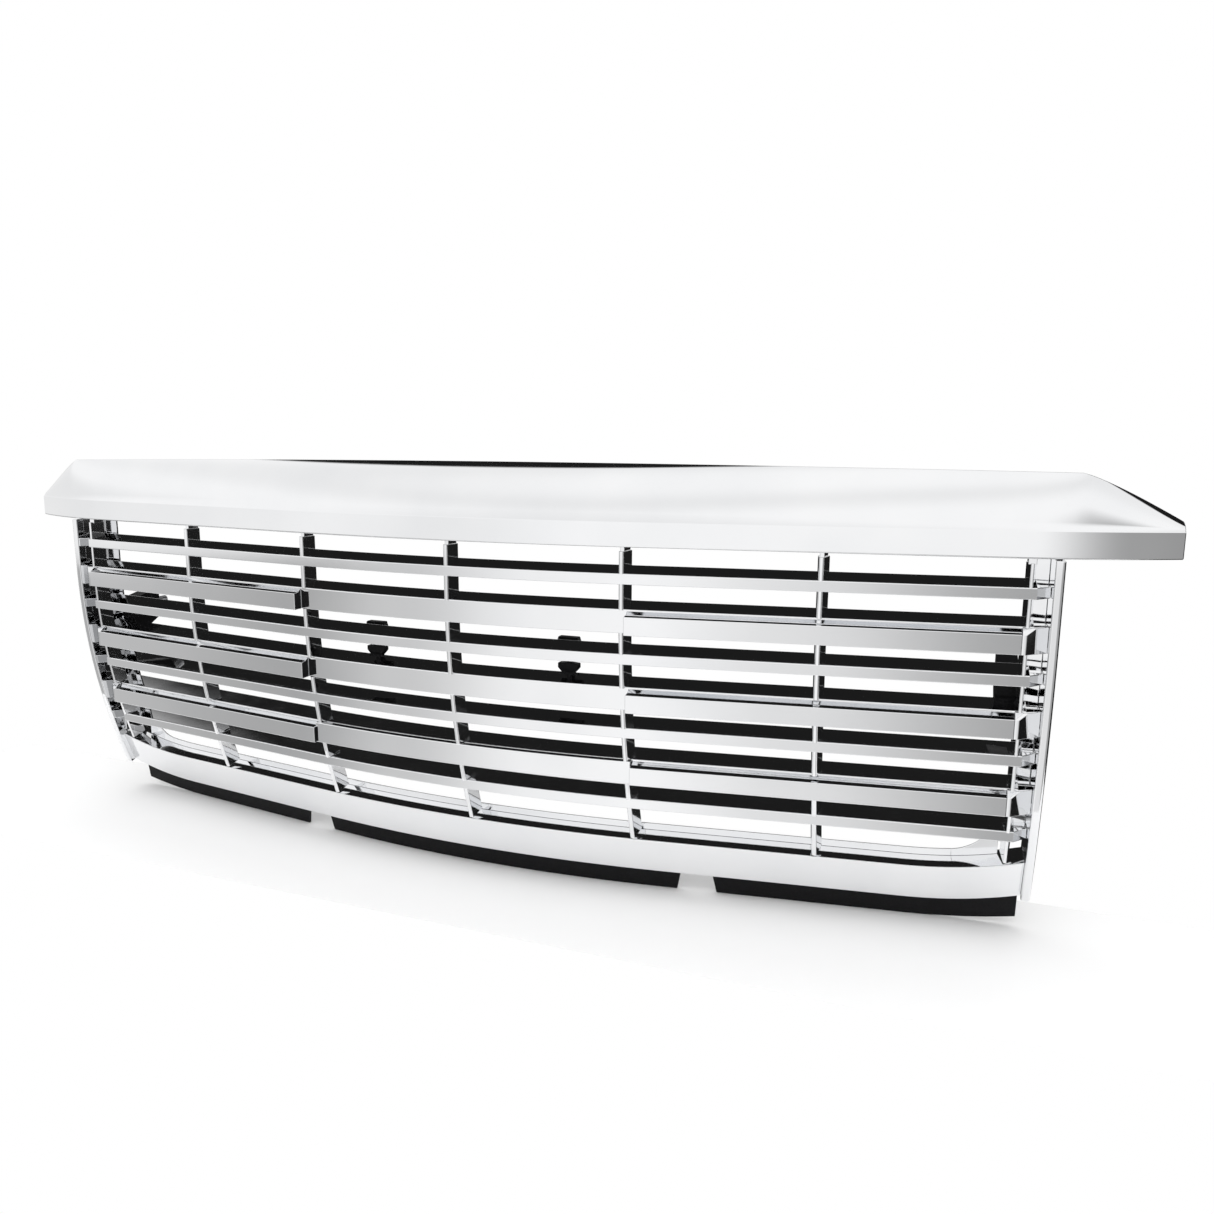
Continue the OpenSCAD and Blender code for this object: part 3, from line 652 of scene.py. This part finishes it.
def screw(seat, towards, length, shank_r=2.0):
    """Points and faces of a pan-head screw with a hexagonal recess. Its shank points from the
    seat of its head."""
    along = unit(np.array(towards, float))
    u = unit(np.cross(along, [0.3, 0.5, 0.81]))
    v = np.cross(along, u)
    n = SCREW_SIDES
    angles = np.arange(n) * math.tau / n
    hexagon = HEX_INNER_R / np.cos((angles + math.pi / 6) % (math.pi / 3) - math.pi / 6)
    recess = [(hexagon * 0.5, -1.0), (hexagon, -1.0), (hexagon, -2.0), (hexagon + 0.12, -2.2)]
    head = [(2.6, -2.15), (3.4, -1.75), (3.85, -1.1), (4.0, -0.4), (3.9, 0)]
    shank = [(shank_r, 0), (shank_r, length - 1.2), (shank_r * 0.45, length)]
    points = np.concatenate([
        np.array(seat) + along * at + np.outer(r * np.cos(angles), u) + np.outer(r * np.sin(angles), v)
        for r, at in recess + head + shank
    ])
    last = len(points) - n
    faces = [
        [k + i, k + (i + 1) % n, k + n + (i + 1) % n, k + n + i]
        for k in range(0, last, n)
        for i in range(n)
    ]
    faces += [list(range(n))[::-1], [last + i for i in range(n)]]
    return points.tolist(), faces


def screws(name, places, node):
    """The screws of one CAD node, from (seat, direction, length)."""
    points, faces = [], []
    for place in places:
        more_points, more_faces = screw(*place)
        faces += [[i + len(points) for i in f] for f in more_faces]
        points += more_points
    mesh = bpy.data.meshes.new(name)
    mesh.from_pydata((np.array(points) / 1000 + ORIGIN).tolist(), [], faces)
    bm = bmesh.new()
    bm.from_mesh(mesh)
    bmesh.ops.recalc_face_normals(bm, faces=bm.faces)
    bm.to_mesh(mesh)
    bm.free()
    mesh.shade_smooth()
    mesh.set_sharp_from_angle(angle=math.radians(35))
    piece(name, mesh, STEEL, "steel", node)


BRACKET_X = 98.0
BRACKET_Y = float(behind(110, BAR_DEPTH)) + float(tuck(THICK_Z[1])) + 7.1
SCREW_ROWS = (THIN_Z[1] + THIN_H / 2, THICK_Z[1] + THICK_H / 2)
BLADES_X = [-SIDE_X, -2 * PITCH, -PITCH, 0, PITCH, 2 * PITCH, SIDE_X]
RAIL_SCREW_Y, RAIL_SCREW_Z = float(behind(SIDE_INNER, 0)) + 28, 52
blade_places = [((x, float(behind(x, 0)) + 20.2, 39), (0, -1, 0), 14) for x in BLADES_X]
bracket_places = [((s * BRACKET_X, BRACKET_Y, z), (0, -1, 0), 16) for s in (-1, 1) for z in SCREW_ROWS]
rail_places = [((s * (SIDE_INNER + RAIL_W), RAIL_SCREW_Y, RAIL_SCREW_Z), (-s, 0, 0), 18) for s in (-1, 1)]
flange_places = [((x, screw_y(x), LEG_Z), (0, 0, 1), 16) for x in SCREW_X]
screws("steel_blade_screws", blade_places, "blade_screws")
screws("steel_bracket_screws", bracket_places, "bracket_screws")
screws("steel_rail_screws", rail_places, "rail_screws")
screws("steel_flange_screws", flange_places, "flange_screws")

# ---------------------------------------------------------------- inner brackets
BRACKET_LOW, BRACKET_TOP, BRACKET_T = THICK_Z[1] + 2, THIN_Z[1] + THIN_H + 5, 7.0
# From the bottom up: the plate on the thick bar, the arrow, the waist, the plate on the thin bar
half = [(11.5, BRACKET_LOW), (11.5, -87), (4.5, -86), (9.5, -80.5), (9.5, -76.5), (2.5, -76), (2.5, -67.5),
        (10.5, -67), (10.5, -58), (9, BRACKET_TOP)]
outline = half + [(-a, z) for a, z in half[::-1]]
count = len(outline)
for side, label in ((1, "right"), (-1, "left")):
    points = [(side * BRACKET_X + a, BRACKET_Y + d, z) for d in (-BRACKET_T, 0) for a, z in outline]
    faces = [list(range(count)), [2 * count - 1 - i for i in range(count)]]
    faces += [[(i + 1) % count, i, i + count, (i + 1) % count + count] for i in range(count)]
    faceted(f"moulded_{label}_bracket", points, faces, 0.5, BLACK, "black_plastic", f"{label}_inner_bracket")

# ---------------------------------------------------------------- carried-over CAD nodes
MATERIALS = {"chrome": CHROME, "black_plastic": BLACK, "steel": STEEL}
for name, obj in NODES.items():
    if obj.hide_render:
        continue
    slot_name = next(s["material_slot"] for s in frame["record"]["subparts"] if s["node"] == name)
    obj.data.materials.clear()
    obj.data.materials.append(MATERIALS[slot_name])

# ---------------------------------------------------------------- stage, light and camera
scene.view_settings.view_transform = "Standard"


def ramp(nodes, links, value, stops):
    """A grey level over a direction's share along an axis, from (share, grey) stops."""
    r = nodes.new("ShaderNodeValToRGB")
    r.color_ramp.interpolation = "EASE"
    elements = r.color_ramp.elements
    elements.remove(elements[1])
    for i, (at, grey) in enumerate(stops):
        place = (at + 1) / 2
        element = elements[0] if i == 0 else elements.new(place)
        element.position, element.color = place, (grey, grey, grey, 1)
    half = nodes.new("ShaderNodeMath")
    half.operation = "MULTIPLY_ADD"
    half.inputs[1].default_value = half.inputs[2].default_value = 0.5
    links.new(value, half.inputs[0])
    links.new(half.outputs["Value"], r.inputs["Fac"])
    return r.outputs["Color"]


def mixed(nodes, links, kind, factor, a, b):
    m = nodes.new("ShaderNodeMix")
    m.data_type = "RGBA"
    m.blend_type = kind
    for socket, value in (("Factor", factor), ("A", a), ("B", b)):
        if isinstance(value, (float, tuple)):
            m.inputs[socket].default_value = value
        else:
            links.new(value, m.inputs[socket])
    return m.outputs["Result"]


def studio():
    """White for the camera. For light and reflections: a bright front and ceiling, and a dark rear."""
    world = bpy.data.worlds.new("studio")
    scene.world = world
    world.use_nodes = True
    nodes, links = world.node_tree.nodes, world.node_tree.links
    where = nodes.new("ShaderNodeTexCoord").outputs["Generated"]
    split = nodes.new("ShaderNodeSeparateXYZ")
    links.new(where, split.inputs["Vector"])
    x, y, z = (split.outputs[a] for a in "XYZ")
    # Below the horizon the front runs from grey at the far left, through white, to grey at the right.
    side = ramp(nodes, links, x, [
        (-1, 0.62), (-0.9, 0.55), (-0.8, 0.42), (-0.6, 0.62), (-0.3, 0.95), (-0.05, 1.0), (0.12, 0.8),
        (0.36, 0.4), (1, 0.35),
    ])
    # Above it the front is bright, and only the far right is grey.
    above = ramp(nodes, links, x, [
        (-1, 0.86), (-0.75, 0.95), (-0.5, 0.9), (-0.2, 1.0), (0.45, 0.97), (0.8, 0.36), (1, 0.3),
    ])
    ceiling = ramp(nodes, links, z, [(-1, 0.9), (0.1, 1.0), (0.45, 1.0), (0.75, 0.9), (1, 1.0)])
    upper = ramp(nodes, links, z, [(-1, 0), (-0.13, 0), (-0.09, 1), (1, 1)])
    overhead = ramp(nodes, links, z, [(-1, 0), (0.12, 0), (0.35, 1), (1, 1)])
    # The rear is dark, apart from a grey strip at the horizon and the zenith.
    rear = ramp(nodes, links, z, [
        (-1, 0.1), (-0.3, 0.01), (-0.07, 0.012), (-0.02, 0.75), (0.18, 0.75), (0.27, 0.012), (0.74, 0.012),
        (0.8, 0.95), (1, 1.0),
    ])
    # The rear begins further back for steep directions, so that the header's crown stays bright.
    leaning = y
    for axis, share in ((z, -0.5), (x, 0.2)):
        added = nodes.new("ShaderNodeMath")
        added.operation = "MULTIPLY_ADD"
        added.inputs[1].default_value = share
        links.new(axis, added.inputs[0])
        links.new(leaning, added.inputs[2])
        leaning = added.outputs["Value"]
    backward = ramp(nodes, links, leaning, [(-1, 0), (0.11, 0), (0.19, 1), (1, 1)])
    inward = ramp(nodes, links, x, [(-1, 0), (-0.9, 0), (-0.84, 1), (1, 1)])
    front = mixed(nodes, links, "MIX", upper, side, above)
    front = mixed(nodes, links, "MIX", overhead, front, ceiling)
    which = mixed(nodes, links, "MULTIPLY", 1.0, backward, inward)
    seen = mixed(nodes, links, "MIX", which, front, rear)
    path = nodes.new("ShaderNodeLightPath")
    color = mixed(nodes, links, "MIX", path.outputs["Is Camera Ray"], seen, (1.0, 1.0, 1.0, 1.0))
    links.new(color, nodes["Background"].inputs["Color"])


studio()
low, high = cad_box
floor_z = low.z - 0.0005
floor_mesh = bpy.data.meshes.new("floor")
reach = [(-0.75, -0.15), (0.75, -0.15), (0.75, 0.07), (-0.75, 0.07)]
floor_mesh.from_pydata([(a, b, floor_z) for a, b in reach], [], [(0, 1, 2, 3)])
floor = bpy.data.objects.new("floor", floor_mesh)
scene.collection.objects.link(floor)
floor_material, _, _, floor_shader, _ = principled("pale_floor", (0.92, 0.92, 0.92), 0.0, 0.9)
floor_mesh.materials.append(floor_material)


def area_light(name, place, aim, size, energy):
    data = bpy.data.lights.new(name, "AREA")
    data.shape, data.size, data.energy = "SQUARE", size, energy
    obj = bpy.data.objects.new(name, data)
    obj.location = place
    obj.rotation_euler = (Vector(aim) - Vector(place)).to_track_quat("-Z", "Y").to_euler()
    obj.visible_glossy = False
    scene.collection.objects.link(obj)


area_light("key", (0.6, -1.6, 2.2), (0, 0, -0.2), 2.0, 10)
sky = bpy.data.lights.new("sky", "SUN")
sky.energy, sky.angle = 1.1, math.radians(75)
sky_light = bpy.data.objects.new("sky", sky)
sky_light.rotation_euler = (math.radians(12), math.radians(6), 0)
sky_light.visible_glossy = False
scene.collection.objects.link(sky_light)

camera_data = bpy.data.cameras.new("camera")
camera_data.lens, camera_data.sensor_width = 27.61, 36.0
camera_data.clip_start, camera_data.clip_end = 0.05, 50
camera = bpy.data.objects.new("camera", camera_data)
camera.location = Vector((402.6, -694.4, 110.9)) / 1000 + Vector(ORIGIN)
turn = Matrix.Rotation(math.radians(20.16), 4, "Z") @ Matrix.Rotation(math.radians(80.16), 4, "X")
camera.rotation_euler = (turn @ Matrix.Rotation(math.radians(0.29), 4, "Z")).to_euler()
scene.collection.objects.link(camera)
scene.camera = camera
